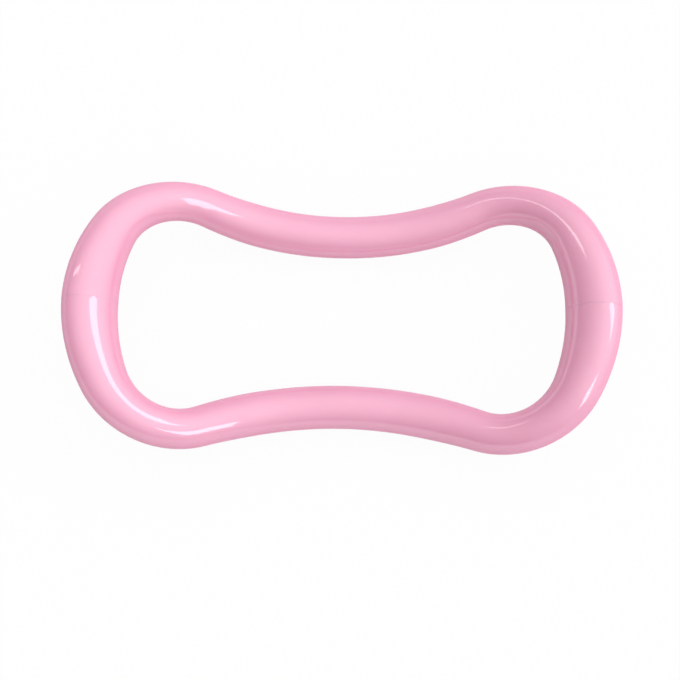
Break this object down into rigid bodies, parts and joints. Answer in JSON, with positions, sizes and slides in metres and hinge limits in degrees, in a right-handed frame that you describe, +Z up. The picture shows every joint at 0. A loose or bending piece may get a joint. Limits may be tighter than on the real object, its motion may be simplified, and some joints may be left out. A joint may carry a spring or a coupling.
{
  "type": "yoga ring",
  "caption": "Rigid hand-size exercise ring: a closed waisted loop of oval tube, bowed along its length, gripped or worn round a hand, foot or calf for stretching.",
  "frame": {"origin": "on the surface that the ring rests on, under the middle of its opening", "axes": "+X along the ring's length, +Y across it towards the back arm, +Z up through the opening; the ends are raised"},
  "size_m": [0.2324, 0.1188, 0.0461],
  "materials": {
    "ring_plastic": "gloss",
    "plug_plastic": "matte"
  },
  "bodies": {
    "root": {"back_half_tube": "ring_plastic", "front_half_tube": "ring_plastic", "left_joint_plug": "plug_plastic", "right_joint_plug": "plug_plastic"}
  },
  "joints": []
}
